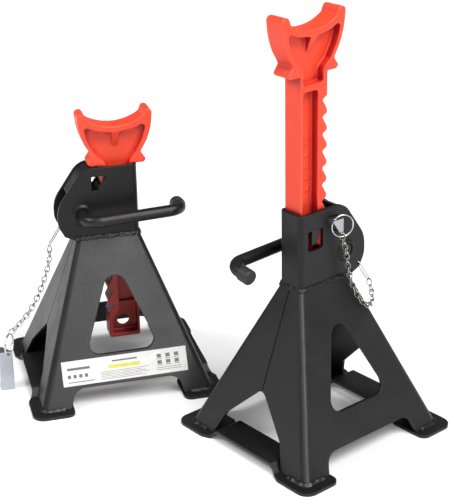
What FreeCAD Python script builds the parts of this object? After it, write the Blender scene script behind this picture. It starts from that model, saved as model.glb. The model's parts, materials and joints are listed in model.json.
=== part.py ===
import FreeCAD, Part
import math
import os

os.makedirs("parts", exist_ok=True)
V = FreeCAD.Vector

# A pair of ratchet axle stands, in millimetres, +Z up.
# Each stand is drawn in its own frame: X runs from the plain spine of the
# column (x = 0 at the outside of the neck) to the toothed side, +Y is the side
# the handle hangs on, Z = 0 is the floor.

# ---------------------------------------------------------------- base
BASE_MID_X = 32.0          # middle of the base in X
BASE_HALF_X = 88.5         # half length of the pressed base at the pads
BASE_HALF_Y = 82.0         # half width of the pressed base at the pads
BASE_LOW_Z = 3.0           # the base stands on the pads of the foot rails
BASE_TOP_Z = 157.0
BASE_TOP_HALF_X = 32.0
SHEET = 3.2                # pressed steel sheet
CORNER_R = 7.0             # outside bend of the base sheets
SEAM_GAP = 1.2             # gap between the two base halves
WINDOW_TOP_Z = 139.0       # apex of the window triangle before rounding
WINDOW_LOW_Z = 48.5
WINDOW_HALF = 38.0
CUTOUT_Z = 20.5
CUTOUT_HALF = 53.0
ARCH_APEX_Z = 63.0
ARCH_SHOULDER = (38.0, 27.0)
ARCH_FOOT_HALF = 50.0

# ---------------------------------------------------------------- foot rails
RAIL_OUT = 98.0            # outer edge of a pad from the middle of the base
RAIL_IN = 56.0
RAIL_MID_OUT = 92.5        # the raised middle of the rail is narrower
RAIL_MID_IN = 62.0
RAIL_HALF_Y = 93.5
RAIL_LIFT = 8.0
RAIL_LOW_Y = 46.0          # the joggle runs from here ...
RAIL_HIGH_Y = 38.0         # ... to here
RAIL_SHEET = 3.0

# ---------------------------------------------------------------- neck
NECK_HALF_Y = 14.25
NECK_TOP_Z = 230.0
NECK_LOW_Z = 157.0
NECK_BEND = 5.0
PIVOT_X = 58.0
PIVOT_Z = 182.0
COLLAR_R = 10.5
COLLAR_H = 1.5
SHAFT_R = 6.0
SHAFT_CLEARANCE = 0.08
ANCHOR_X = 74.8            # hole for the chain link
ANCHOR_Z = 165.4
ANCHOR_R = 1.8

# ---------------------------------------------------------------- column
COL_HALF_Y = 10.7
COL_X0 = 3.6
TIP_X = 35.6
TOOTH_DEPTH = 5.6
PITCH = 16.0
FIRST_LEDGE_Z = 208.0
TEETH = 9
LEDGE_RISE = 3.0           # the ledges rise outward by this much
FLANK_DROP = 9.3
COL_LOW_Z = 40.0
FOOT_HOLE_Z = 55.2         # round hole through the web near the lower end
FOOT_HOLE_R = 6.3
WEB_HALF_Y = 2.2
FLANGE_Z = 230.3
SADDLE_MID_X = 19.4
SADDLE_TOP_Z = 285.0
CRADLE_LOW_Z = 270.0
CRADLE_R = 50.0
RAISE_STEPS = 8            # the raised stand is locked this many teeth up

# ---------------------------------------------------------------- pin
PIN_X0 = 32.6              # inner top corner of the wedge section
PIN_X1 = 46.2
PIN_FOOT_X = 41.8
PIN_TOP_Z = 219.7
PIN_LOW_Z = 206.2
PIN_Y0 = -22.5
PIN_Y1 = 20.0
PIN_HOLE_AT = V(35.9, -19.5, 217.9)   # middle of the slanting hole for the ring
PIN_HOLE_R = 1.7
RING_R = 10.6
RING_WIRE = 0.55
RING_TURN = 250.0          # degrees; the way the ring's axis points on the raised stand
RING_HOLD = 150.0          # degrees round the ring from its right end to the hole

# ---------------------------------------------------------------- handle
HANDLE_Y = 38.0            # plane of the straight bar
HANDLE_DROOP = 2.0         # degrees below horizontal
HANDLE_BEND = 15.0
HOOK_BEND = 13.0
HOOK_RISE = -8.0           # degrees
HANDLE_RUN = 97.5         # from the pivot to the middle of the hook
CAP_R = 7.3
LOW_LIFT = 4.5             # degrees; on the low stand the pawl lies on the tooth tips

# ---------------------------------------------------------------- layout
RAISED_AT = (19.2, -128.4)
RAISED_TURN = 0.0
LOW_AT = (4.2, 86.1)
LOW_TURN = 155.0


def rounded_wire(corners, to_3d):
    """Closed wire through (u, v, r) corners, each rounded to its radius."""
    starts = []
    arcs = []
    n = len(corners)
    for i in range(n):
        u, v, r = corners[i]
        pu, pv = corners[i - 1][:2]
        nu, nv = corners[(i + 1) % n][:2]
        a = V(pu - u, pv - v, 0).normalize()
        b = V(nu - u, nv - v, 0).normalize()
        if r <= 0:
            starts.append((V(u, v, 0), V(u, v, 0)))
            arcs.append(None)
            continue
        half = math.acos(max(-1.0, min(1.0, a.dot(b)))) / 2
        run = r / math.tan(half)
        p = V(u, v, 0) + a * run
        q = V(u, v, 0) + b * run
        mid_dir = (a + b).normalize()
        centre = V(u, v, 0) + mid_dir * (r / math.sin(half))
        starts.append((p, q))
        arcs.append(centre - mid_dir * r)
    edges = []
    for i in range(n):
        p, q = starts[i]
        if arcs[i] is not None:
            edges.append(Part.Arc(to_3d(p), to_3d(arcs[i]), to_3d(q)).toShape())
        nxt = starts[(i + 1) % n][0]
        if (nxt - q).Length > 1e-6:
            edges.append(Part.LineSegment(to_3d(q), to_3d(nxt)).toShape())
    return Part.Wire(edges)


def plate_y(corners, y0, y1):
    """Outline drawn in X and Z, solid from y0 to y1."""
    wire = rounded_wire(corners, lambda p: V(p.x, y0, p.y))
    return Part.Face(wire).extrude(V(0, y1 - y0, 0))


def plate_x(corners, x0, x1):
    """Outline drawn in Y and Z, solid from x0 to x1."""
    wire = rounded_wire(corners, lambda p: V(x0, p.x, p.y))
    return Part.Face(wire).extrude(V(x1 - x0, 0, 0))


def plate_z(corners, z0, z1):
    """Outline drawn in X and Y, solid from z0 to z1."""
    wire = rounded_wire(corners, lambda p: V(p.x, p.y, z0))
    return Part.Face(wire).extrude(V(0, 0, z1 - z0))


def rect(x0, x1, y0, y1, r=0.0):
    return [(x0, y0, r), (x1, y0, r), (x1, y1, r), (x0, y1, r)]


def box(x0, x1, y0, y1, z0, z1):
    return Part.makeBox(x1 - x0, y1 - y0, z1 - z0, V(x0, y0, z0))


def cylinder_y(x, z, r, y0, y1):
    return Part.makeCylinder(r, y1 - y0, V(x, y0, z), V(0, 1, 0))


def frustum(half_x0, half_y0, z0, half_x1, half_y1, z1, r0, r1):
    """Solid tapering between two rounded rectangles about the base middle."""
    wires = []
    for hx, hy, z, r in ((half_x0, half_y0, z0, r0), (half_x1, half_y1, z1, r1)):
        corners = rect(BASE_MID_X - hx, BASE_MID_X + hx, -hy, hy, r)
        wires.append(rounded_wire(corners, lambda p, z=z: V(p.x, p.y, z)))
    return Part.makeLoft(wires, True, True)


def one_solid(shape):
    solids = shape.removeSplitter().Solids
    return solids[0] if len(solids) == 1 else Part.makeCompound(solids)


# ---------------------------------------------------------------- base
def base_outer():
    return frustum(BASE_HALF_X, BASE_HALF_Y, BASE_LOW_Z,
                   BASE_TOP_HALF_X, NECK_HALF_Y, BASE_TOP_Z, CORNER_R, NECK_BEND)


def base_inner(extra=0.0):
    t = SHEET + extra
    return frustum(BASE_HALF_X - t - 0.2, BASE_HALF_Y - t - 0.2, BASE_LOW_Z - 0.01,
                   BASE_TOP_HALF_X - t, NECK_HALF_Y - t, BASE_TOP_Z + 0.01, 3.6, 1.6)


def base_openings():
    window = [(BASE_MID_X, WINDOW_TOP_Z, 12.0),
              (BASE_MID_X + WINDOW_HALF, WINDOW_LOW_Z, 10.0),
              (BASE_MID_X - WINDOW_HALF, WINDOW_LOW_Z, 10.0)]
    cutout = [(BASE_MID_X - CUTOUT_HALF, CUTOUT_Z, 13.0),
              (BASE_MID_X + CUTOUT_HALF, CUTOUT_Z, 13.0),
              (BASE_MID_X + CUTOUT_HALF + 7.5, -5.0, 0.0),
              (BASE_MID_X - CUTOUT_HALF - 7.5, -5.0, 0.0)]
    sy, sz = ARCH_SHOULDER
    arch = [(0.0, ARCH_APEX_Z, 8.0), (sy, sz, 8.0), (ARCH_FOOT_HALF + 2.0, -5.0, 0.0),
            (-ARCH_FOOT_HALF - 2.0, -5.0, 0.0), (-sy, sz, 8.0)]
    return [plate_y(window, -120, 120), plate_y(cutout, -120, 120),
            plate_x(arch, -120, 200)]


def base_shells():
    shell = base_outer().cut(base_inner())
    for opening in base_openings():
        shell = shell.cut(opening)
    g = SEAM_GAP / 2
    pin_side = shell.common(box(-100, 200, -150, -g, 0, 200))
    handle_side = shell.common(box(-100, 200, g, 150, 0, 200))
    return one_solid(pin_side), one_solid(handle_side)


def seam_welds():
    inner = frustum(BASE_HALF_X - 0.6, BASE_HALF_Y - 0.6, BASE_LOW_Z,
                    BASE_TOP_HALF_X - 0.6, NECK_HALF_Y - 0.6, BASE_TOP_Z, CORNER_R, 4.4)
    fill = inner.cut(base_inner())
    g = SEAM_GAP / 2
    slab = box(-100, 200, -g, g, ARCH_APEX_Z - 2.0, BASE_TOP_Z - 1.0)
    return Part.makeCompound(fill.common(slab).Solids)


# ---------------------------------------------------------------- foot rails
def foot_rail(side):
    """Flat strip under one end of the base with two pads and a raised middle."""
    lift = RAIL_LIFT
    t = RAIL_SHEET
    ylow, yhigh, yend = RAIL_LOW_Y, RAIL_HIGH_Y, RAIL_HALF_Y
    section = [(-yend, 0, 0), (-ylow, 0, 4), (-yhigh, lift, 4), (yhigh, lift, 4),
               (ylow, 0, 4), (yend, 0, 0), (yend, t, 0), (ylow + 1, t, 4),
               (yhigh + 1, lift + t, 4), (-yhigh - 1, lift + t, 4), (-ylow - 1, t, 4),
               (-yend, t, 0)]
    strip = plate_x(section, -120, 200)
    a, b, c, d = (side * v for v in (RAIL_OUT, RAIL_IN, RAIL_MID_OUT, RAIL_MID_IN))
    mid = BASE_MID_X
    top = yhigh + 4
    foot = ylow + 8
    plan = [(mid + a, -yend, 12), (mid + a, -foot, 6), (mid + c, -top, 6),
            (mid + c, top, 6), (mid + a, foot, 6), (mid + a, yend, 12),
            (mid + b, yend, 8), (mid + b, foot, 6), (mid + d, top, 6),
            (mid + d, -top, 6), (mid + b, -foot, 6), (mid + b, -yend, 8)]
    return one_solid(strip.common(plate_z(plan, -1, 30)))


def foot_welds():
    """L-shaped beads where the four corners of the base stand on the pads."""
    h = 3.2
    w = 3.0
    slope_x = (BASE_HALF_X - BASE_TOP_HALF_X) / (BASE_TOP_Z - BASE_LOW_Z)
    slope_y = (BASE_HALF_Y - NECK_HALF_Y) / (BASE_TOP_Z - BASE_LOW_Z)
    bead = frustum(BASE_HALF_X + w, BASE_HALF_Y + w, BASE_LOW_Z,
                   BASE_HALF_X - slope_x * h + 0.3, BASE_HALF_Y - slope_y * h + 0.3,
                   BASE_LOW_Z + h, CORNER_R + w, CORNER_R)
    bead = bead.cut(base_outer())
    beads = []
    for sx in (-1, 1):
        for sy in (-1, 1):
            xs = sorted((BASE_MID_X + sx * 64.0, BASE_MID_X + sx * 110.0))
            ys = sorted((sy * 58.0, sy * 110.0))
            beads += bead.common(box(xs[0], xs[1], ys[0], ys[1], 0, 20)).Solids
    return Part.makeCompound(beads)


# ---------------------------------------------------------------- neck
def cheek_outline(inset=0.0):
    """Outline of a cheek: upright spine side, rounded ear over the pawl."""
    i = inset
    return [(0.0, NECK_LOW_Z, 0.0), (0.0, NECK_TOP_Z - i, 0.0),
            (55.0 - 0.6 * i, NECK_TOP_Z - i, 20.0 - i), (82.5 - i, 191.0 - 0.3 * i, 30.0 - i),
            (82.5 - i, 172.0 + 0.4 * i, 18.0 - i), (76.5 - i, 160.5 + 0.5 * i, 2.0),
            (69.0 - 1.3 * i, NECK_LOW_Z, 0.0)]


def pin_window(grow=0.0):
    g = grow
    return [(PIN_X0 - 1.2 - g, PIN_TOP_Z + 1.5, 0.8), (PIN_X1 + 0.4 + g, PIN_TOP_Z + 1.5, 1.0),
            (PIN_X1 + 0.4 + g, PIN_LOW_Z - 0.3, 1.5), (PIN_FOOT_X - 0.4 - g, PIN_LOW_Z - 0.3, 1.5)]


def neck_housing():
    """One folded sheet: spine, two cheeks, raised pivot collars, stop tongue."""
    body = plate_y(cheek_outline(), -NECK_HALF_Y, NECK_HALF_Y)
    plan = [(0, -NECK_HALF_Y, NECK_BEND), (120, -NECK_HALF_Y, 0),
            (120, NECK_HALF_Y, 0), (0, NECK_HALF_Y, NECK_BEND)]
    body = body.common(plate_z(plan, 0, 300))
    inner = NECK_HALF_Y - SHEET
    body = body.cut(box(SHEET, 130, -inner, inner, 0, 300))
    for s in (-1, 1):
        base = V(PIVOT_X, s * (NECK_HALF_Y - 0.5), PIVOT_Z)
        collar = Part.makeCone(COLLAR_R + 1.0, COLLAR_R - 1.4, COLLAR_H + 0.5,
                               base, V(0, s, 0))
        body = body.fuse(collar)
    body = body.cut(cylinder_y(PIVOT_X, PIVOT_Z, SHAFT_R + SHAFT_CLEARANCE, -40, 40))
    body = body.cut(plate_y(pin_window(), -40, 40))
    body = body.cut(cylinder_y(ANCHOR_X, ANCHOR_Z, ANCHOR_R, -40, 0))
    dish = cylinder_y(PIVOT_X, PIVOT_Z, COLLAR_R - 3.2, -40, -NECK_HALF_Y)
    body = body.cut(dish)
    slot = [(9.4, 193.0, 3.5), (28.4, 193.0, 3.5), (28.4, 213.0, 2.0), (9.4, 213.0, 2.0)]
    body = body.cut(plate_y(slot, -40, 0))
    tongue = plate_y([(14.2, 214.0, 0), (15.8, 198.0, 2.0), (23.0, 198.0, 2.0), (24.2, 214.0, 0)],
                     -NECK_HALF_Y, -inner)
    tongue.rotate(V(0, -inner, 213.0), V(1, 0, 0), 8.0)
    return one_solid(body.fuse(tongue))


def neck_weld():
    """Bead all round the foot of the neck, where it stands on the base."""
    y = NECK_HALF_Y
    low = rect(-1.9, 68.0, -y - 2.0, y + 2.0, 6.0)
    mid = rect(-1.3, 70.0, -y - 1.4, y + 1.4, 6.0)
    top = rect(-0.2, 69.6, -y - 0.3, y + 0.3, 5.0)
    wires = []
    for corners, z in ((low, NECK_LOW_Z - 2.0), (mid, NECK_LOW_Z + 0.7), (top, NECK_LOW_Z + 2.6)):
        wires.append(rounded_wire(corners, lambda p, z=z: V(p.x, p.y, z)))
    bead = Part.makeLoft(wires, True, True)
    bead = bead.cut(base_outer())
    plan = [(0, -y, NECK_BEND), (120, -y, 0), (120, y, 0), (0, y, NECK_BEND)]
    filled = plate_y(cheek_outline(), -y, y).common(plate_z(plan, 0, 300))
    bead = bead.cut(filled)
    bead = bead.cut(box(60, 90, -y + SHEET, y - SHEET, 150, 170))
    return Part.makeCompound(bead.Solids)


def between_cheeks(keep):
    """Strip following the cheek outline, between the cheeks, inside a box."""
    inner = NECK_HALF_Y - SHEET
    outer = plate_y(cheek_outline(0.8), -inner, inner)
    strip = outer.cut(plate_y(cheek_outline(3.8), -inner - 1, inner + 1))
    return one_solid(strip.common(keep))


def ear_cover_strip():
    return between_cheeks(box(46.5, 90, -20, 20, 205.0, 240))


def lower_bridge_plate():
    return between_cheeks(box(58, 90, -20, 20, NECK_LOW_Z + 0.2, 161.0))


# ---------------------------------------------------------------- column
def column_outline():
    m = SADDLE_MID_X
    pts = [(COL_X0, COL_LOW_Z, 1.5), (COL_X0, FLANGE_Z, 0), (m - 27.6, FLANGE_Z, 1.6),
           (m - 29.8, 233.2, 1.2), (m - 24.2, 241.0, 2.0), (m - 31.4, 253.0, 40.0),
           (m - 36.0, 266.0, 60.0), (m - 37.8, 284.0, 4.2), (m - 33.6, SADDLE_TOP_Z, 2.0),
           (m - 30.2, SADDLE_TOP_Z, 2.6), (m - 27.4, CRADLE_LOW_Z + 8.6, 0),
           (m - 27.4, CRADLE_LOW_Z, 0), (m + 27.4, CRADLE_LOW_Z, 0),
           (m + 27.4, CRADLE_LOW_Z + 8.6, 0), (m + 30.2, SADDLE_TOP_Z, 2.6),
           (m + 33.6, SADDLE_TOP_Z, 2.0), (m + 37.8, 284.0, 4.2), (m + 36.0, 266.0, 60.0),
           (m + 31.4, 253.0, 40.0), (m + 24.2, 241.0, 2.0), (m + 29.8, 233.2, 1.2),
           (m + 27.0, FLANGE_Z, 1.6),
           (TIP_X, FLANGE_Z, 0)]
    for k in range(TEETH):
        z = FIRST_LEDGE_Z - k * PITCH
        root = TIP_X - TOOTH_DEPTH
        pts += [(TIP_X, z, 0.5), (root, z - LEDGE_RISE, 1.2),
                (TIP_X, z - LEDGE_RISE - FLANK_DROP, 0.8)]
    pts.append((TIP_X, COL_LOW_Z, 1.5))
    return pts


def cradle_fill():
    """Material between the horns, hollowed by the cradle radius."""
    m = SADDLE_MID_X
    block = box(m - 27.5, m + 27.5, -COL_HALF_Y, COL_HALF_Y, CRADLE_LOW_Z - 3, CRADLE_LOW_Z + 8.2)
    hollow = cylinder_y(m, CRADLE_LOW_Z + CRADLE_R, CRADLE_R, -20, 20)
    return block.cut(hollow)


def recess(corners, s):
    """Pocket in one wide face of the casting, down to the web."""
    return plate_y(corners, *sorted((s * WEB_HALF_Y, s * (COL_HALF_Y + 1))))


def ratchet_column():
    m = SADDLE_MID_X
    body = plate_y(column_outline(), -COL_HALF_Y, COL_HALF_Y).fuse(cradle_fill())
    root = TIP_X - TOOTH_DEPTH
    pocket = [(m - 31.8, 272.0, 3.2), (m - 18.0, 266.0, 20.0), (m, 263.6, 30.0),
              (m + 18.0, 266.0, 20.0), (m + 32.6, 273.0, 3.0), (m + 27.8, 254.0, 30.0),
              (m + 20.2, 241.0, 10.0), (root + 0.6, 233.0, 8.0), (root + 0.6, 221.0, 3.0),
              (COL_X0 + 2.8, 221.0, 3.0), (COL_X0 + 2.8, 233.0, 8.0), (m - 19.5, 241.0, 10.0),
              (m - 26.8, 254.0, 30.0)]
    wide = TIP_X - 4.4                  # the channel widens below the last tooth
    floor = COL_LOW_Z + 4.5
    channel = [(COL_X0 + 2.4, 215.5, 3.0), (24.4, 215.5, 3.0), (24.4, 70.0, 5.0),
               (wide, 60.0, 5.0), (wide, floor, 2.0), (COL_X0 + 2.4, floor, 2.0)]
    for s in (-1, 1):
        body = body.cut(recess(pocket, s)).cut(recess(channel, s))
    for s in (-1, 1):
        gusset = plate_x([(s * (WEB_HALF_Y - 0.5), 264.5, 0), (s * COL_HALF_Y, 264.5, 0),
                          (s * (COL_HALF_Y - 1.0), 262.0, 0), (s * (WEB_HALF_Y - 0.5), 246.0, 0)],
                         m - 4.2, m + 4.2)
        taper = plate_y([(m - 4.2, 266, 0), (m + 4.2, 266, 0), (m + 2.4, 245, 0),
                         (m - 2.4, 245, 0)], -20, 20)
        rib_y = sorted((s * (WEB_HALF_Y - 0.5), s * 6.0))
        rib = box(COL_X0 + 2.0, 25.0, rib_y[0], rib_y[1], 76.0, 79.0)
        body = body.fuse(gusset.common(taper)).fuse(rib)
        marks_y = sorted((s * (WEB_HALF_Y - 0.3), s * (WEB_HALF_Y + 0.7)))
        for k in range(5):
            z = 120.0 + 11.0 * k
            body = body.fuse(box(11.5, 20.5, marks_y[0], marks_y[1], z, z + 2.4))
    body = body.cut(cylinder_y(m, FOOT_HOLE_Z, FOOT_HOLE_R, -20, 20))
    return one_solid(body)


# ---------------------------------------------------------------- handle and pawl
def direction(angle_deg):
    a = math.radians(angle_deg)
    return V(-math.cos(a), 0, -math.sin(a))


def handle_bar():
    """Round bar: pivot shaft, bend, straight run past the spine, hook."""
    run = direction(HANDLE_DROOP)
    rise = math.radians(HOOK_RISE)
    hook = V(0, -math.cos(rise), math.sin(rise))
    corner1 = V(PIVOT_X, HANDLE_Y, PIVOT_Z)
    corner2 = corner1 + run * HANDLE_RUN
    start = V(PIVOT_X, -NECK_HALF_Y - 0.9, PIVOT_Z)
    along = V(0, 1, 0)
    edges = []
    here = start
    for corner, d0, d1, r in ((corner1, along, run, HANDLE_BEND), (corner2, run, hook, HOOK_BEND)):
        turn = math.acos(d0.dot(d1))
        back = r * math.tan(turn / 2)
        p = corner - d0 * back
        q = corner + d1 * back
        inward = (d1 - d0).normalize()
        centre = corner + inward * (r / math.cos(turn / 2))
        edges.append(Part.LineSegment(here, p).toShape())
        edges.append(Part.Arc(p, centre - inward * r, q).toShape())
        here = q
    edges.append(Part.LineSegment(here, here + hook * 13.0).toShape())
    profile = Part.Wire([Part.makeCircle(SHAFT_R, start, V(0, 1, 0))])
    bar = Part.Wire(edges).makePipeShell([profile], True, False)
    return one_solid(bar), here, hook


def handle_end_cap():
    bar, here, hook = handle_bar()
    start = here + hook * 3.0
    cap = Part.makeCylinder(CAP_R, 13.0, start, hook)
    cap = cap.makeFillet(1.6, cap.Edges)
    return one_solid(cap.cut(bar))


def pawl():
    """Hub on the shaft and an arm whose nose sits under a tooth."""
    ledge = FIRST_LEDGE_Z
    nose_x = TIP_X - 1.5
    nose_z = ledge - 1.1
    arm = [(nose_x, nose_z, 0.3), (nose_x + 1.8, nose_z + 0.2, 0.4),
           (nose_x + 7.0, nose_z - 5.6, 2.0), (56.0, 198.0, 6.0), (67.0, 186.0, 3.0),
           (57.0, 173.0, 4.0), (48.0, 180.0, 3.0), (nose_x + 4.0, nose_z - 6.64, 3.0)]
    body = plate_y(arm, -9.0, 9.0).fuse(cylinder_y(PIVOT_X, PIVOT_Z, 11.0, -9.0, 9.0))
    return one_solid(body.cut(cylinder_y(PIVOT_X, PIVOT_Z, SHAFT_R + 0.03, -20, 20)))


def pawl_welds():
    beads = []
    for s in (-1, 1):
        cone = Part.makeCone(8.2, SHAFT_R + 0.4, 1.6, V(PIVOT_X, s * 9.0, PIVOT_Z), V(0, s, 0))
        beads += cone.cut(cylinder_y(PIVOT_X, PIVOT_Z, SHAFT_R, -20, 20)).Solids
    return Part.makeCompound(beads)


# ---------------------------------------------------------------- pin, ring, chain
def ring_sideways():
    a = math.radians(RING_TURN + 90.0)
    return V(math.cos(a), math.sin(a), 0)


def ring_tangent():
    """Direction of the ring's wire where it passes through the pin."""
    a = math.radians(RING_HOLD)
    return ring_sideways() * -math.sin(a) + V(0, 0, math.cos(a))


def ring_centre():
    """Middle of the ring when the pin sits in its window."""
    a = math.radians(RING_HOLD)
    return PIN_HOLE_AT - (ring_sideways() * math.cos(a) + V(0, 0, math.sin(a))) * RING_R


def locking_pin():
    """Wedge-section bar that fits the gap under a tooth."""
    section = [(PIN_X0, PIN_TOP_Z, 0.5), (PIN_X1, PIN_TOP_Z, 0.6),
               (PIN_X1, PIN_LOW_Z, 0.6), (PIN_FOOT_X, PIN_LOW_Z, 0.6)]
    body = plate_y(section, PIN_Y0, PIN_Y1)
    along = ring_tangent()
    hole = Part.makeCylinder(PIN_HOLE_R, 30, PIN_HOLE_AT - along * 15.0, along)
    return one_solid(body.cut(hole))


def split_ring(centre, axis):
    """Two close coils of spring wire."""
    n = axis.normalize()
    coils = []
    for s in (-1, 1):
        middle = centre + n * (0.45 * s)
        coils.append(Part.makeTorus(RING_R, RING_WIRE, middle, n))
    return one_solid(coils[0].fuse(coils[1]))


def oval_loop(length, width, wire_r):
    """Closed loop of round wire in the XY plane, long side along X."""
    r = width / 2
    half = length / 2 - r
    a = Part.LineSegment(V(-half, r, 0), V(half, r, 0)).toShape()
    b = Part.Arc(V(half, r, 0), V(half + r, 0, 0), V(half, -r, 0)).toShape()
    c = Part.LineSegment(V(half, -r, 0), V(-half, -r, 0)).toShape()
    d = Part.Arc(V(-half, -r, 0), V(-half - r, 0, 0), V(-half, r, 0)).toShape()
    path = Part.Wire([a, b, c, d])
    profile = Part.Wire([Part.makeCircle(wire_r, V(0, r, 0), V(1, 0, 0))])
    profile.translate(V(-half, 0, 0))
    return path.makePipeShell([profile], True, False)


def aim(shape, centre, along, roll):
    """Turn a loop drawn along X to lie along a direction, then move it."""
    shape.rotate(V(0, 0, 0), V(1, 0, 0), roll)
    turn = FreeCAD.Rotation(V(1, 0, 0), along)
    placed = shape.copy()
    placed.Placement = FreeCAD.Placement(centre, turn).multiply(placed.Placement)
    return placed


CHAIN_PITCH = 5.2
LINK_LENGTH = 6.8          # centre line of the wire, end to end
LINK_WIDTH = 4.4
LINK_WIRE = 0.6


def chain(points, first_roll, twist):
    """Separate links threaded along a smooth line, turning by twist from end to end."""
    curve = Part.BSplineCurve()
    curve.interpolate([V(*p) for p in points])
    edge = curve.toShape()
    count = int(round(edge.Length / CHAIN_PITCH))
    stations = edge.discretize(Number=count + 1)
    links = []
    for i in range(count):
        p, q = stations[i], stations[i + 1]
        link = oval_loop(LINK_LENGTH, LINK_WIDTH, LINK_WIRE)
        roll = first_roll + 90.0 * (i % 2) + twist * i / (count - 1)
        links.append(aim(link, (p + q) * 0.5, (q - p).normalize(), roll))
    return Part.makeCompound([s for link in links for s in link.Solids])


LOW_TWIST = -105.0         # degrees the low stand's chain turns along its length
WIRE_LINK_LENGTH = 28.0
WIRE_LINK_DIR = V(0.56, 0.0, -0.8285)


def chain_wire_link():
    """Long thin loop through the anchor hole in the ear."""
    loop = oval_loop(WIRE_LINK_LENGTH, 5.4, 0.6)
    middle_y = -NECK_HALF_Y + SHEET / 2
    near = V(ANCHOR_X, middle_y, ANCHOR_Z)
    centre = near + WIRE_LINK_DIR * (WIRE_LINK_LENGTH / 2)
    loop.rotate(V(0, 0, 0), V(0, 1, 0), math.degrees(math.atan2(-WIRE_LINK_DIR.z, WIRE_LINK_DIR.x)))
    loop.translate(centre)
    return loop


def rating_label():
    """Thin sticker under the window on the handle side."""
    slope = math.atan2(BASE_HALF_Y - NECK_HALF_Y, BASE_TOP_Z - BASE_LOW_Z)
    z_top = 46.5
    y_top = NECK_HALF_Y + (BASE_TOP_Z - z_top) * math.tan(slope)
    label = box(-32.0, 96.0, 0.0, 0.4, -25.0, 0.0)
    label.rotate(V(0, 0, 0), V(1, 0, 0), math.degrees(slope))
    label.translate(V(0, y_top, z_top))
    return label


# ---------------------------------------------------------------- one stand
HANG_SHIFT = V(106.2, -202.2, 20.8)


def hang(shape):
    """Move the pin from its window to where it hangs on the chain."""
    shape.rotate(V(0, 0, 0), V(1, 0, 0), -90.0)
    shape.translate(HANG_SHIFT)
    return shape


def stand_parts(raised):
    pin_side, handle_side = base_shells()
    column = ratchet_column()
    if raised:
        column.translate(V(0, 0, RAISE_STEPS * PITCH))
    pin = locking_pin()
    end = V(ANCHOR_X, -NECK_HALF_Y + SHEET / 2, ANCHOR_Z) + WIRE_LINK_DIR * (WIRE_LINK_LENGTH - 1.5)
    if raised:
        turn = math.radians(RING_TURN)
        ring = split_ring(ring_centre(), V(math.cos(turn), math.sin(turn), 0))
        foot = ring_centre() - V(0, 0, RING_R + RING_WIRE)
        line = [(foot.x - 1.2, foot.y, foot.z - 1.6), (47.6, -23.6, 190.0), (51.0, -23.0, 175.0),
                (55.0, -23.5, 157.0), (60.0, -28.0, 140.0), (66.5, -32.0, 129.0),
                (73.0, -31.8, 126.0), (81.5, -27.0, 128.0), (87.0, -20.5, 134.5),
                (end.x, end.y, end.z)]
    else:
        pin = hang(pin)
        through = FreeCAD.Rotation(V(1, 0, 0), -90).multVec(ring_tangent())
        up = (V(0, 0, 1) - through * through.z).normalize()
        hold = FreeCAD.Rotation(V(1, 0, 0), -90).multVec(PIN_HOLE_AT) + HANG_SHIFT
        ring = split_ring(hold + up * (RING_R - 0.3), through.cross(up))
        top = hold + up * (2 * RING_R - 0.3)
        line = [(end.x, end.y, end.z), (92.0, -12.0, 122.0), (101.0, -8.0, 100.0),
                (112.0, -1.5, 82.5), (124.0, 5.5, 71.5), (top.x + 0.8, top.y + 0.4, top.z - 0.5)]
    lift = 0.0 if raised else LOW_LIFT
    lever = [handle_bar()[0], handle_end_cap(), pawl(), pawl_welds()]
    for piece in lever:
        piece.rotate(V(PIVOT_X, 0, PIVOT_Z), V(0, 1, 0), lift)
    return {
        "base_shell_pin_side": pin_side,
        "base_shell_handle_side": handle_side,
        "base_seam_welds": seam_welds(),
        "neck_housing": neck_housing(),
        "neck_weld": neck_weld(),
        "ear_cover_strip": ear_cover_strip(),
        "lower_bridge_plate": lower_bridge_plate(),
        "foot_rail_teeth_side": foot_rail(1),
        "foot_rail_spine_side": foot_rail(-1),
        "foot_welds": foot_welds(),
        "ratchet_column": column,
        "pawl": lever[2],
        "pawl_welds": lever[3],
        "handle_bar": lever[0],
        "handle_end_cap": lever[1],
        "locking_pin": pin,
        "split_ring": ring,
        "chain_links": chain(line, 35.0 if raised else 75.0, 0.0 if raised else LOW_TWIST),
        "chain_wire_link": chain_wire_link(),
        "rating_label": rating_label(),
    }


for name, raised, at, turn in (("raised", True, RAISED_AT, RAISED_TURN),
                               ("low", False, LOW_AT, LOW_TURN)):
    for node, shape in stand_parts(raised).items():
        shape.rotate(V(0, 0, 0), V(0, 0, 1), turn)
        shape.translate(V(at[0], at[1], 0))
        shape.exportStep("parts/%s_%s.step" % (name, node))
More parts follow.
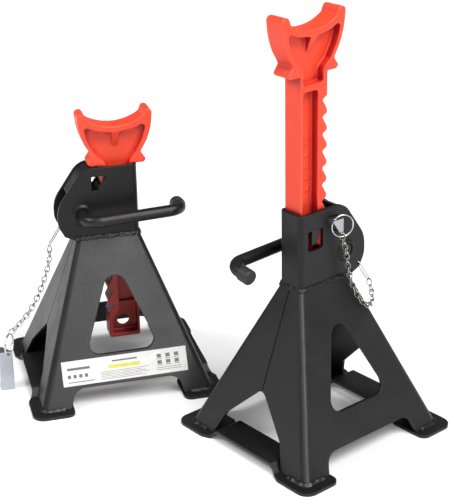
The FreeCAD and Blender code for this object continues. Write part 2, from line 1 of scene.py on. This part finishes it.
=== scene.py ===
import bpy
import bmesh
import math
from mathutils import Matrix, Vector, noise
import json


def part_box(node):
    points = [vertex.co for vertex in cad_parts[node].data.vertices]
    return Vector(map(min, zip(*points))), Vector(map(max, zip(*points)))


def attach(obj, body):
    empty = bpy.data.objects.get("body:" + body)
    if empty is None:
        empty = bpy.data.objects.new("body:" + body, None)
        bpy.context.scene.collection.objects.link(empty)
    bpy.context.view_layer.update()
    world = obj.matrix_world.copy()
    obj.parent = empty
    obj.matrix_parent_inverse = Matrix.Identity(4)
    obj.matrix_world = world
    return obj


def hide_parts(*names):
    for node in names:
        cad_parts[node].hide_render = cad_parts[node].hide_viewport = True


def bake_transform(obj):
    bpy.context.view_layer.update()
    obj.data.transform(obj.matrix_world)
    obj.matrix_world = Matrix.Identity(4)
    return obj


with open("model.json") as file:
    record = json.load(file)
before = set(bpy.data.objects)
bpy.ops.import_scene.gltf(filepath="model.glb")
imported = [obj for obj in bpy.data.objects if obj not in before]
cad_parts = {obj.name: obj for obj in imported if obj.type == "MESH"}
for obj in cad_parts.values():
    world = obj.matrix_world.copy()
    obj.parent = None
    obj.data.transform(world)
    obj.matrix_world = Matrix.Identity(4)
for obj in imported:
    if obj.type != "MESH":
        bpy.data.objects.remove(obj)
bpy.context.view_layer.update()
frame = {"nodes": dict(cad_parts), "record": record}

STANDS = ("raised", "low")
BLACK = (0.0, 0.0, 0.0)
WHITE = (1.0, 1.0, 1.0)


# ------------------------------------------------------------------ node helpers
class Nodes:
    """A material being built, with short calls for the nodes it uses."""

    def __init__(self, name):
        self.mat = bpy.data.materials.new(name)
        self.mat.use_nodes = True
        self.tree = self.mat.node_tree
        self.tree.nodes.clear()
        self.out = self.tree.nodes.new("ShaderNodeOutputMaterial")
        self.bsdf = self.tree.nodes.new("ShaderNodeBsdfPrincipled")
        self.tree.links.new(self.bsdf.outputs[0], self.out.inputs[0])
        coord = self.tree.nodes.new("ShaderNodeTexCoord")
        self.obj = coord.outputs["Object"]

    def link(self, a, b):
        self.tree.links.new(a, b)

    def set(self, **values):
        """Fixed values of shader sockets, with _ for the spaces in their names."""
        for key, value in values.items():
            self.bsdf.inputs[key.replace("_", " ")].default_value = value

    def noise(self, scale, detail=3.0, rough=0.5, vector=None):
        node = self.tree.nodes.new("ShaderNodeTexNoise")
        node.inputs["Scale"].default_value = scale
        node.inputs["Detail"].default_value = detail
        node.inputs["Roughness"].default_value = rough
        self.link(vector or self.obj, node.inputs["Vector"])
        return node.outputs["Fac"]

    def stretch(self, x, y, z):
        node = self.tree.nodes.new("ShaderNodeMapping")
        node.inputs["Scale"].default_value = (x, y, z)
        self.link(self.obj, node.inputs["Vector"])
        return node.outputs["Vector"]

    def voronoi(self, scale):
        node = self.tree.nodes.new("ShaderNodeTexVoronoi")
        node.inputs["Scale"].default_value = scale
        self.link(self.obj, node.inputs["Vector"])
        return node.outputs["Distance"]

    def ramp(self, fac, stops):
        """Colour ramp; a stop is a position and either a grey value or a colour."""
        node = self.tree.nodes.new("ShaderNodeValToRGB")
        ramp = node.color_ramp
        while len(ramp.elements) < len(stops):
            ramp.elements.new(0.5)
        for element, (pos, value) in zip(ramp.elements, stops):
            element.position = pos
            rgb = value if isinstance(value, tuple) else (value,) * 3
            element.color = (*rgb, 1.0)
        self.link(fac, node.inputs["Fac"])
        return node.outputs["Color"]

    def mix(self, fac, a, b, mode="MIX"):
        node = self.tree.nodes.new("ShaderNodeMix")
        node.data_type = "RGBA"
        node.blend_type = mode
        for socket, value in ((node.inputs[0], fac), (node.inputs[6], a), (node.inputs[7], b)):
            if isinstance(value, (int, float)):
                socket.default_value = value
            elif isinstance(value, tuple):
                socket.default_value = (*value, 1.0)
            else:
                self.link(value, socket)
        return node.outputs[2]

    def bump(self, height, strength, distance, normal=None):
        node = self.tree.nodes.new("ShaderNodeBump")
        node.inputs["Strength"].default_value = strength
        node.inputs["Distance"].default_value = distance
        self.link(height, node.inputs["Height"])
        if normal is not None:
            self.link(normal, node.inputs["Normal"])
        return node.outputs["Normal"]

    def rounded(self, radius):
        """Normal softened over the edges, and a mask of where they are."""
        bevel = self.tree.nodes.new("ShaderNodeBevel")
        bevel.samples = 4
        bevel.inputs["Radius"].default_value = radius
        flat = self.tree.nodes.new("ShaderNodeNewGeometry")
        dot = self.tree.nodes.new("ShaderNodeVectorMath")
        dot.operation = "DOT_PRODUCT"
        self.link(bevel.outputs[0], dot.inputs[0])
        self.link(flat.outputs["Normal"], dot.inputs[1])
        mask = self.ramp(dot.outputs["Value"], [(0.80, 1.0), (0.995, 0.0)])
        return bevel.outputs[0], mask

    def facing(self, normal, direction):
        """How far a surface faces a fixed direction, 1 for squarely."""
        dot = self.tree.nodes.new("ShaderNodeVectorMath")
        dot.operation = "DOT_PRODUCT"
        self.link(normal, dot.inputs[0])
        dot.inputs[1].default_value = direction
        return dot.outputs["Value"]

    def openness(self, distance):
        """1 on open faces, less where other surfaces stand within the distance."""
        near = self.tree.nodes.new("ShaderNodeAmbientOcclusion")
        near.samples = 8
        near.inputs["Distance"].default_value = distance
        return near.outputs["AO"]

    def use(self, socket, value):
        self.link(value, self.bsdf.inputs[socket])


def powder_coat(name, colour, rough, scale=1.0, peel=0.35, edge_radius=0.0012,
                gloss=0.5):
    """Black powder coat: orange peel, slow tone changes, specks, and paler edges that are painted
    edge sheen.
    """
    n = Nodes(name)
    slow = n.noise(9.0 * scale, 4.0, 0.55)
    fine = n.noise(260.0 * scale, 3.0, 0.6)
    grain = n.noise(900.0 * scale, 2.0, 0.5)
    dark = tuple(c * 0.80 for c in colour)
    light = tuple(c * 1.25 for c in colour)
    tone = n.mix(n.ramp(slow, [(0.35, 0.0), (0.65, 1.0)]), dark, light)
    soft, edge = n.rounded(edge_radius)
    # painted edge sheen: paler colour along the edges, in patches
    patch = n.ramp(n.noise(70.0, 5.0, 0.6), [(0.42, 0.15), (0.68, 0.8)])
    tone = n.mix(n.mix(edge, BLACK, patch), tone, tuple(c * 2.6 for c in colour))
    speck = n.ramp(n.voronoi(420.0 * scale), [(0.0, 0.35), (0.06, 0.0)])
    tone = n.mix(speck, tone, tuple(c * 2.2 for c in colour))
    n.use("Base Color", tone)
    n.use("Roughness", n.ramp(n.noise(34.0, 4.0, 0.6),
                              [(0.25, rough - 0.04), (0.75, rough + 0.08)]))
    first = n.bump(fine, peel, 0.00035, soft)
    n.use("Normal", n.bump(grain, peel * 0.5, 0.0001, first))
    n.set(Specular_IOR_Level=gloss)
    return n.mat


def cast_paint(name, full_shade_below, no_shade_above, shade_side=None):
    """Red-orange paint over a casting: pitted and satin.

    It is darker from the first height down, fading out by the second: painted shade low in the
    stand. Recess walls that face the given side are a deeper red: painted shade.
    """
    n = Nodes(name)
    slow = n.noise(14.0, 4.0, 0.6)
    tone = n.mix(n.ramp(slow, [(0.3, 0.0), (0.7, 1.0)]),
                 (0.85, 0.047, 0.014), (0.93, 0.068, 0.021))
    shape = n.tree.nodes.new("ShaderNodeNewGeometry")
    edge = n.ramp(shape.outputs["Pointiness"], [(0.51, 0.0), (0.58, 0.7)])
    tone = n.mix(edge, tone, (0.97, 0.15, 0.070))
    # painted shade: darker in hollows and where other surfaces stand close
    hollow_shade = n.ramp(shape.outputs["Pointiness"], [(0.42, 0.8), (0.495, 0.0)])
    tone = n.mix(hollow_shade, tone, (0.55, 0.010, 0.012))
    shaded = n.ramp(n.openness(0.009), [(0.50, 0.85), (0.76, 0.0)])
    tone = n.mix(shaded, tone, (0.42, 0.007, 0.009))
    # painted shade: deeper red on recess walls facing the given side
    if shade_side is not None:
        facing = n.facing(shape.outputs["Normal"], shade_side)
        deep = n.ramp(n.openness(0.012), [(0.77, 0.97), (0.91, 0.0)])
        shaded_wall = n.mix(n.ramp(facing, [(0.45, 0.0), (0.80, 1.0)]), BLACK, deep)
        tone = n.mix(shaded_wall, tone, (0.42, 0.002, 0.006))
    # painted shade: darker towards the bottom, low inside the stand
    split = n.tree.nodes.new("ShaderNodeSeparateXYZ")
    n.link(n.obj, split.inputs[0])
    low_shade = n.ramp(split.outputs["Z"], [(full_shade_below, 0.85), (no_shade_above, 0.0)])
    tone = n.mix(low_shade, tone, (0.30, 0.010, 0.010))
    pits = n.ramp(n.voronoi(330.0), [(0.0, 0.0), (0.16, 1.0)])
    tone = n.mix(n.mix(0.5, WHITE, pits), (0.55, 0.014, 0.012), tone)
    n.use("Base Color", tone)
    n.use("Roughness", n.ramp(n.noise(55.0, 4.0, 0.6), [(0.3, 0.38), (0.7, 0.52)]))
    sand = n.bump(n.noise(420.0, 5.0, 0.65), 0.45, 0.0005)
    wave = n.bump(n.noise(60.0, 3.0, 0.5), 0.35, 0.0012, sand)
    n.use("Normal", n.bump(pits, 0.25, 0.0003, wave))
    n.set(Specular_IOR_Level=0.42, Coat_Weight=0.12, Coat_Roughness=0.3)
    return n.mat


def plated(name, colour, rough, edge_radius=0.0004, crevice_shade=0.0):
    """Bright plated steel: drawn streaks, faint blotches, paler edges that are painted edge sheen,
    and painted shade where parts nearly touch.
    """
    n = Nodes(name)
    streaks = n.noise(500.0, 4.0, 0.7, n.stretch(1.0, 0.08, 0.08))
    blotch = n.noise(70.0, 4.0, 0.6)
    tone = n.mix(n.ramp(blotch, [(0.35, 0.0), (0.7, 1.0)]),
                 tuple(c * 0.80 for c in colour), colour)
    soft, edge = n.rounded(edge_radius)
    # painted edge sheen: paler colour along the edges
    tone = n.mix(n.mix(edge, BLACK, (0.5, 0.5, 0.5)), tone,
                 tuple(min(1.0, c * 1.25) for c in colour))
    # painted shade where parts nearly touch
    if crevice_shade:
        near = n.ramp(n.openness(crevice_shade), [(0.35, 1.0), (0.85, 0.0)])
        tone = n.mix(near, tone, (0.03, 0.03, 0.03))
    n.use("Base Color", tone)
    n.set(Metallic=1.0)
    n.use("Roughness", n.ramp(blotch, [(0.2, rough), (0.8, rough + 0.14)]))
    n.use("Normal", n.bump(streaks, 0.2, 0.0002, soft))
    return n.mat


def print_film(name, colour, rough=0.36):
    """Printed film: faint unevenness of ink, slight wrinkles, satin."""
    n = Nodes(name)
    dull = tuple(c * 0.90 for c in colour)
    n.use("Base Color", n.mix(n.ramp(n.noise(140.0, 3.0), [(0.35, 0.0), (0.7, 1.0)]),
                              dull, colour))
    n.use("Roughness", n.ramp(n.noise(40.0, 3.0),
                              [(0.3, rough - 0.04), (0.7, rough + 0.06)]))
    n.use("Normal", n.bump(n.noise(300.0, 3.0), 0.12, 0.0001))
    return n.mat


MATERIALS = {
    "black_sheet": powder_coat("powder_coat_sheet", (0.0090, 0.0090, 0.0092), 0.38, gloss=0.48),
    "black_neck": powder_coat("powder_coat_neck", (0.0075, 0.0075, 0.0078), 0.38, gloss=0.27),
    "black_rail": powder_coat("powder_coat_rail", (0.0080, 0.0080, 0.0082), 0.42, gloss=0.35),
    "black_weld": powder_coat("powder_coat_weld", (0.0085, 0.0085, 0.0087), 0.34, peel=0.6,
                              edge_radius=0.0006, gloss=0.42),
    "black_bar": powder_coat("powder_coat_bar", (0.0085, 0.0085, 0.0088), 0.33, peel=0.25,
                             gloss=0.35),
    "black_cap": powder_coat("powder_coat_cap", (0.0160, 0.0160, 0.0163), 0.50, peel=0.30),
    "black_pawl": powder_coat("oxide_pawl", (0.0085, 0.0082, 0.0080), 0.50, scale=1.4,
                              peel=0.5),
    "red_casting": cast_paint("painted_casting", 0.10, 0.165),
    "zinc_pin": plated("zinc_plate", (0.47, 0.50, 0.55), 0.28),
    "spring_wire": plated("spring_wire", (0.80, 0.79, 0.76), 0.18, edge_radius=0.0002),
    "nickel_chain": plated("nickel_plate", (0.40, 0.39, 0.375), 0.13, edge_radius=0.0002,
                           crevice_shade=0.0022),
    "label_film": print_film("label_white", (0.80, 0.80, 0.79)),
}
# raised column's paint: its painted shade band sits higher, and recess walls facing -x get painted
# shade
RAISED_CASTING = cast_paint("painted_casting_raised", 0.205, 0.232, shade_side=(-1.0, 0.0, 0.0))
INKS = {
    "yellow": print_film("label_yellow", (0.72, 0.66, 0.06)),
    "grey": print_film("label_grey", (0.12, 0.12, 0.12)),
}

slot_of = {s["node"]: s["material_slot"] for s in frame["record"]["subparts"]}
body_of = {}
for body, members in frame["record"]["behaviour"]["bodies"].items():
    for node_name in members:
        body_of[node_name] = body


def node_object(node):
    """Blender object of a CAD node."""
    found = frame["nodes"][node]
    return found if isinstance(found, bpy.types.Object) else bpy.data.objects[found]


for node_name, slot in slot_of.items():
    ob = node_object(node_name)
    if not ob.material_slots:
        ob.data.materials.append(MATERIALS[slot])
    for holder in ob.material_slots:
        holder.material = MATERIALS[slot]


# ------------------------------------------------------------------ pieces
def new_piece(name, mesh, node, replaces=True, material=None):
    """A Blender piece that takes the place and finish of a CAD node."""
    ob = bpy.data.objects.new(name, mesh)
    bpy.context.collection.objects.link(ob)
    mesh.materials.clear()
    mesh.materials.append(material or MATERIALS[slot_of[node]])
    for face in mesh.polygons:
        face.use_smooth = True
    if replaces:
        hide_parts(node)
    return ob


def remeshed(node, voxel, rounds):
    """Copy of a CAD node's mesh, remeshed evenly and smoothed over its edges."""
    mesh = node_object(node).data.copy()
    ob = bpy.data.objects.new(node + "_work", mesh)
    bpy.context.collection.objects.link(ob)
    mod = ob.modifiers.new("even", "REMESH")
    mod.mode = "VOXEL"
    mod.voxel_size = voxel
    soft = ob.modifiers.new("soft", "SMOOTH")
    soft.factor = 0.5
    soft.iterations = rounds
    graph = bpy.context.evaluated_depsgraph_get()
    result = bpy.data.meshes.new_from_object(ob.evaluated_get(graph), depsgraph=graph)
    bpy.data.objects.remove(ob)
    return result


RIPPLE_PITCH = 0.003       # from one ripple of a weld bead to the next


def roughen(mesh, height, scale, ripple=0.0, keep_in=None):
    """Push the surface in and out along its normals; weld beads get ripples too."""
    moves = []
    for v in mesh.vertices:
        n = v.normal
        push = height * noise.noise(v.co * scale) + height * 0.5 * noise.noise(v.co * scale * 3.1)
        if ripple:
            along = v.co.x * 1.31 + v.co.y * 1.17 + v.co.z * 0.9
            wobble = 0.4 * noise.noise(v.co * 160.0)
            push += ripple * math.cos((along / RIPPLE_PITCH + wobble) * 2.0 * math.pi)
        moves.append(v.co + n * push)
    for v, place in zip(mesh.vertices, moves):
        if keep_in is not None:
            place = Vector(max(a, min(b, c)) for a, b, c in zip(*keep_in, place))
        v.co = place
    mesh.update()


CAST_VOXEL = 0.0007
# bead, voxel, ripple height, roughness height
BEADS = (("neck_weld", 0.0008, 0.00042, 0.0008),
         ("foot_welds", 0.0008, 0.00030, 0.0004),
         ("base_seam_welds", 0.0007, 0.00012, 0.0004))

for stand in STANDS:
    node = stand + "_ratchet_column"
    mesh = remeshed(node, CAST_VOXEL, 4)
    roughen(mesh, 0.00010, 90.0, keep_in=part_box(node))
    paint = RAISED_CASTING if stand == "raised" else None
    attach(new_piece(stand + "_cast_column", mesh, node, material=paint), body_of[node])
    for name, voxel, ripple, height in BEADS:
        node = stand + "_" + name
        mesh = remeshed(node, voxel, 2)
        roughen(mesh, height, 210.0, ripple)
        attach(new_piece(node + "_beads", mesh, node), body_of[node])


# ------------------------------------------------------------------ chains
CURB_PITCH = 0.0054
CURB_LENGTH = 0.0075
CURB_WIDTH = 0.0052
CURB_WIRE = 0.00056
CURB_TWIST = 0.0005
CURB_LEAN = 40.0           # degrees each link leans, to alternate sides
ALONG_LINK = 20            # points round the path of a link
ROUND_WIRE = 6             # points round its wire
HOOK_UP = 0.0028           # the first link reaches this far up into the ring


def island_centres(ob):
    """Middle of each separate link of a CAD chain, in the order they were made."""
    bm = bmesh.new()
    bm.from_mesh(ob.data)
    bm.verts.ensure_lookup_table()
    bmesh.ops.remove_doubles(bm, verts=bm.verts, dist=1e-6)
    bm.verts.ensure_lookup_table()
    seen = set()
    centres = []
    for v in bm.verts:
        if v.index in seen:
            continue
        group = []
        stack = [v]
        seen.add(v.index)
        while stack:
            at = stack.pop()
            group.append(at.co.copy())
            for e in at.link_edges:
                other = e.other_vert(at)
                if other.index not in seen:
                    seen.add(other.index)
                    stack.append(other)
        lo = Vector(min(c[i] for c in group) for i in range(3))
        hi = Vector(max(c[i] for c in group) for i in range(3))
        centres.append((lo + hi) / 2)
    bm.free()
    return centres


def in_order(points, first):
    """Walk from the point nearest the start, always on to the nearest one left."""
    left = list(points)
    at = first
    walk = []
    while left:
        nearest = min(left, key=lambda p: (p - at).length)
        left.remove(nearest)
        walk.append(nearest)
        at = nearest
    return walk


def walk_line(points, pitch):
    """Points a pitch apart along a smooth line through the given points."""
    dense = []
    for i in range(len(points) - 1):
        p0 = points[max(i - 1, 0)]
        p1, p2 = points[i], points[i + 1]
        p3 = points[min(i + 2, len(points) - 1)]
        for k in range(12):
            t = k / 12.0
            dense.append(0.5 * ((2 * p1) + (p2 - p0) * t + (2 * p0 - 5 * p1 + 4 * p2 - p3) * t * t
                                + (3 * p1 - p0 - 3 * p2 + p3) * t ** 3))
    dense.append(points[-1].copy())
    total = sum((b - a).length for a, b in zip(dense, dense[1:]))
    count = max(1, round(total / pitch))
    step = total / count
    out = [dense[0]]
    gone = 0.0
    for a, b in zip(dense, dense[1:]):
        run = (b - a).length
        while gone + run >= step * len(out) - 1e-9 and len(out) <= count:
            out.append(a.lerp(b, (step * len(out) - gone) / max(run, 1e-12)))
        gone += run
    return out


def curb_chain(name, points, side):
    """Twisted links along a line, lying flat the way a curb chain does."""
    verts = []
    faces = []
    stations = walk_line(points, CURB_PITCH)
    for i, (a, b) in enumerate(zip(stations, stations[1:])):
        x = (b - a).normalized()
        z = (side - x * side.dot(x)).normalized()
        z = Matrix.Rotation(math.radians(CURB_LEAN if i % 2 else -CURB_LEAN), 3, x) @ z
        y = z.cross(x)
        mid = (a + b) / 2
        base = len(verts)
        path = []
        for k in range(ALONG_LINK):
            t = 2 * math.pi * k / ALONG_LINK
            path.append(mid + x * (CURB_LENGTH / 2 * math.cos(t))
                        + y * (CURB_WIDTH / 2 * math.sin(t)) + z * (CURB_TWIST * math.sin(2 * t)))
        for k in range(ALONG_LINK):
            tangent = (path[(k + 1) % ALONG_LINK] - path[k - 1]).normalized()
            out = (path[k] - mid).normalized()
            out = (out - tangent * out.dot(tangent)).normalized()
            other = tangent.cross(out)
            for j in range(ROUND_WIRE):
                u = 2 * math.pi * j / ROUND_WIRE
                verts.append(path[k] + out * (CURB_WIRE * math.cos(u))
                             + other * (CURB_WIRE * math.sin(u)))
        for k in range(ALONG_LINK):
            for j in range(ROUND_WIRE):
                k2, j2 = (k + 1) % ALONG_LINK, (j + 1) % ROUND_WIRE
                faces.append((base + k * ROUND_WIRE + j, base + k * ROUND_WIRE + j2,
                              base + k2 * ROUND_WIRE + j2, base + k2 * ROUND_WIRE + j))
    mesh = bpy.data.meshes.new(name)
    mesh.from_pydata(verts, [], faces)
    return mesh


for stand in STANDS:
    node = stand + "_chain_links"
    ring_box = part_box(stand + "_split_ring")
    ring_mid = (Vector(ring_box[0]) + Vector(ring_box[1])) / 2
    centres = island_centres(node_object(node))
    near_ring = min(centres, key=lambda p: (p - ring_mid).length)
    centres = in_order(centres, near_ring)
    foot = Vector((ring_mid.x, ring_mid.y, ring_box[0][2]))
    side = Vector((0.5, -0.6, 0.5))
    if stand == "raised":
        hook = Vector((foot.x, foot.y, foot.z + HOOK_UP))
        centres = [hook] + centres
        side = Vector((1.0, -0.25, 0.3))
    piece = new_piece(stand + "_curb_chain", curb_chain(stand + "_curb_chain", centres, side), node)
    if stand == "raised":
        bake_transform(piece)
    else:
        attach(piece, body_of[node])


# ------------------------------------------------------------------ label print
def label_frame(node):
    """Outer face of the label: origin at its lower left, axes along and up it."""
    mesh = node_object(node).data
    best = max(mesh.polygons, key=lambda f: f.area * (1.0 if f.normal.z > 0 else 0.0))
    n = best.normal.copy()
    along = Vector((0, 0, 1)).cross(n).normalized()
    up = n.cross(along)
    us = [v.co.dot(along) for v in mesh.vertices]
    vs = [v.co.dot(up) for v in mesh.vertices]
    ws = [v.co.dot(n) for v in mesh.vertices]
    origin = along * min(us) + up * min(vs) + n * max(ws)
    return origin, along, up, n, max(us) - min(us), max(vs) - min(vs)


def printed_blocks():
    """Plain blocks in label units of 0..1 across and up: (u0, v0, u1, v1, ink)."""
    blocks = [(0.37, 0.50, 0.62, 0.64, "yellow"), (0.04, 0.62, 0.22, 0.72, "grey"),
              (0.04, 0.12, 0.25, 0.155, "grey"), (0.40, 0.76, 0.60, 0.82, "grey")]
    for k in range(4):
        blocks.append((0.04 + 0.045 * k, 0.30, 0.065 + 0.045 * k, 0.44, "grey"))
    for k in range(6):
        ragged = 0.03 * ((k * 2) % 3)
        blocks.append((0.30, 0.39 - 0.06 * k, 0.69 - ragged, 0.405 - 0.06 * k, "grey"))
    for row in range(2):
        for k in range(3):
            low = 0.66 - 0.26 * row
            blocks.append((0.76 + 0.07 * k, low, 0.795 + 0.07 * k, low + 0.15, "grey"))
            blocks.append((0.755 + 0.07 * k, low - 0.06, 0.80 + 0.07 * k, low - 0.035, "grey"))
    for k in range(2):
        blocks.append((0.75, 0.24 - 0.08 * k, 0.95, 0.26 - 0.08 * k, "grey"))
    return blocks


INK_HEIGHT = 0.00005
BLOCK_FACES = ((0, 3, 2, 1), (4, 5, 6, 7), (0, 1, 5, 4), (1, 2, 6, 5), (2, 3, 7, 6),
               (3, 0, 4, 7))
for stand in STANDS:
    node = stand + "_rating_label"
    origin, along, up, out, wide, tall = label_frame(node)
    for ink in INKS:
        verts = []
        faces = []
        for u0, v0, u1, v1, colour in printed_blocks():
            if colour != ink:
                continue
            base = len(verts)
            for w in (0.0, INK_HEIGHT):
                for u, v in ((u0, v0), (u1, v0), (u1, v1), (u0, v1)):
                    verts.append(origin + along * (u * wide) + up * (v * tall) + out * w)
            faces += [tuple(base + k for k in quad) for quad in BLOCK_FACES]
        mesh = bpy.data.meshes.new(node + "_" + ink)
        mesh.from_pydata(verts, [], faces)
        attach(new_piece("%s_print_%s" % (node, ink), mesh, node, False, INKS[ink]),
                body_of[node])
        for face in mesh.polygons:
            face.use_smooth = False


# ------------------------------------------------------------------ floor, light, camera
FLOOR_HALF = 30.0
floor_mesh = bpy.data.meshes.new("floor")
floor_mesh.from_pydata([(-FLOOR_HALF, -FLOOR_HALF, 0), (FLOOR_HALF, -FLOOR_HALF, 0),
                        (FLOOR_HALF, FLOOR_HALF, 0), (-FLOOR_HALF, FLOOR_HALF, 0)],
                       [], [(0, 1, 2, 3)])
floor = bpy.data.objects.new("floor", floor_mesh)
bpy.context.collection.objects.link(floor)
paper = Nodes("floor_paper")
paper.use("Base Color", paper.mix(paper.ramp(paper.noise(3.0, 3.0), [(0.3, 0.0), (0.7, 1.0)]),
                                  (0.90, 0.90, 0.90), (0.92, 0.92, 0.92)))
paper.use("Roughness", paper.ramp(paper.noise(80.0, 3.0), [(0.3, 0.85), (0.7, 0.95)]))
paper.set(Specular_IOR_Level=0.1, Emission_Color=(*WHITE, 1.0), Emission_Strength=0.12)
floor_mesh.materials.append(paper.mat)

scene = bpy.context.scene
world = bpy.data.worlds.new("studio")
scene.world = world
world.use_nodes = True
SURROUND = 0.20            # how bright the room is for light and reflections
tree = world.node_tree
tree.nodes.clear()


def background(strength):
    """Even white surroundings."""
    node = tree.nodes.new("ShaderNodeBackground")
    node.inputs[0].default_value = (*WHITE, 1.0)
    node.inputs[1].default_value = strength
    return node


seen = background(1.0)
room = background(SURROUND)
rays = tree.nodes.new("ShaderNodeLightPath")
pick = tree.nodes.new("ShaderNodeMixShader")
world_out = tree.nodes.new("ShaderNodeOutputWorld")
tree.links.new(rays.outputs["Is Camera Ray"], pick.inputs[0])
tree.links.new(room.outputs[0], pick.inputs[1])
tree.links.new(seen.outputs[0], pick.inputs[2])
tree.links.new(pick.outputs[0], world_out.inputs[0])

LIGHTS_AIM = Vector((0.0, 0.0, 0.18))


def toward(azimuth, elevation):
    """Unit vector from the object to a compass direction, both in degrees."""
    a, e = math.radians(azimuth), math.radians(elevation)
    return Vector((math.cos(e) * math.cos(a), math.cos(e) * math.sin(a), math.sin(e)))


def softbox(name, azimuth, elevation, distance, width, height, power):
    """Rectangular lamp looking at the object from a compass direction."""
    data = bpy.data.lights.new(name, "AREA")
    data.shape = "RECTANGLE"
    data.size = width
    data.size_y = height
    data.energy = power
    ob = bpy.data.objects.new(name, data)
    bpy.context.collection.objects.link(ob)
    ob.location = LIGHTS_AIM + distance * toward(azimuth, elevation)
    ob.rotation_euler = (LIGHTS_AIM - ob.location).to_track_quat("-Z", "Y").to_euler()
    return ob


def sun(azimuth, elevation, strength, spread):
    """Even soft light over the whole floor."""
    data = bpy.data.lights.new("overhead", "SUN")
    data.energy = strength
    data.angle = math.radians(spread)
    ob = bpy.data.objects.new("overhead", data)
    bpy.context.collection.objects.link(ob)
    ob.rotation_euler = toward(azimuth, elevation).to_track_quat("Z", "Y").to_euler()


sun(272, 57, 2.35, 38)
softbox("front_key", 290, 52, 2.4, 0.9, 0.9, 15.0)
softbox("back_left", 160, 48, 2.4, 0.8, 0.8, 28.0)
for card in (softbox("low_front_card", 260, 25, 2.0, 0.55, 0.9, 14.0),
             softbox("corner_card", 221, 24, 2.0, 0.16, 1.2, 5.0)):
    card.visible_diffuse = False

PICTURE_WIDTH = 449.0
FOCAL_LENGTH = 1407.7      # in the same units as the picture's width
SENSOR_WIDTH = 36.0
CAM_AT = Vector((-0.78161, -0.99805, 0.70137))
CAM_YAW = 50.25
CAM_PITCH = 23.19
CAM_ROLL = -1.15


def camera():
    """Camera looking down on both stands, a little rolled."""
    yaw, pitch, roll = (math.radians(a) for a in (CAM_YAW, CAM_PITCH, CAM_ROLL))
    forward = Vector((math.cos(pitch) * math.cos(yaw), math.cos(pitch) * math.sin(yaw),
                      -math.sin(pitch)))
    right = Vector((math.sin(yaw), -math.cos(yaw), 0.0))
    up = right.cross(forward)
    rolled_right = right * math.cos(roll) + up * math.sin(roll)
    rolled_up = up * math.cos(roll) - right * math.sin(roll)
    data = bpy.data.cameras.new("camera")
    data.sensor_fit = "HORIZONTAL"
    data.sensor_width = SENSOR_WIDTH
    data.lens = FOCAL_LENGTH * SENSOR_WIDTH / PICTURE_WIDTH
    data.clip_start = 0.01
    data.clip_end = 100.0
    ob = bpy.data.objects.new("camera", data)
    bpy.context.collection.objects.link(ob)
    rot = Matrix((rolled_right, rolled_up, -forward)).transposed().to_4x4()
    ob.matrix_world = Matrix.Translation(CAM_AT) @ rot
    scene.camera = ob


camera()
scene.view_settings.view_transform = "Standard"
scene.view_settings.look = "None"
scene.view_settings.exposure = 0.0

import json
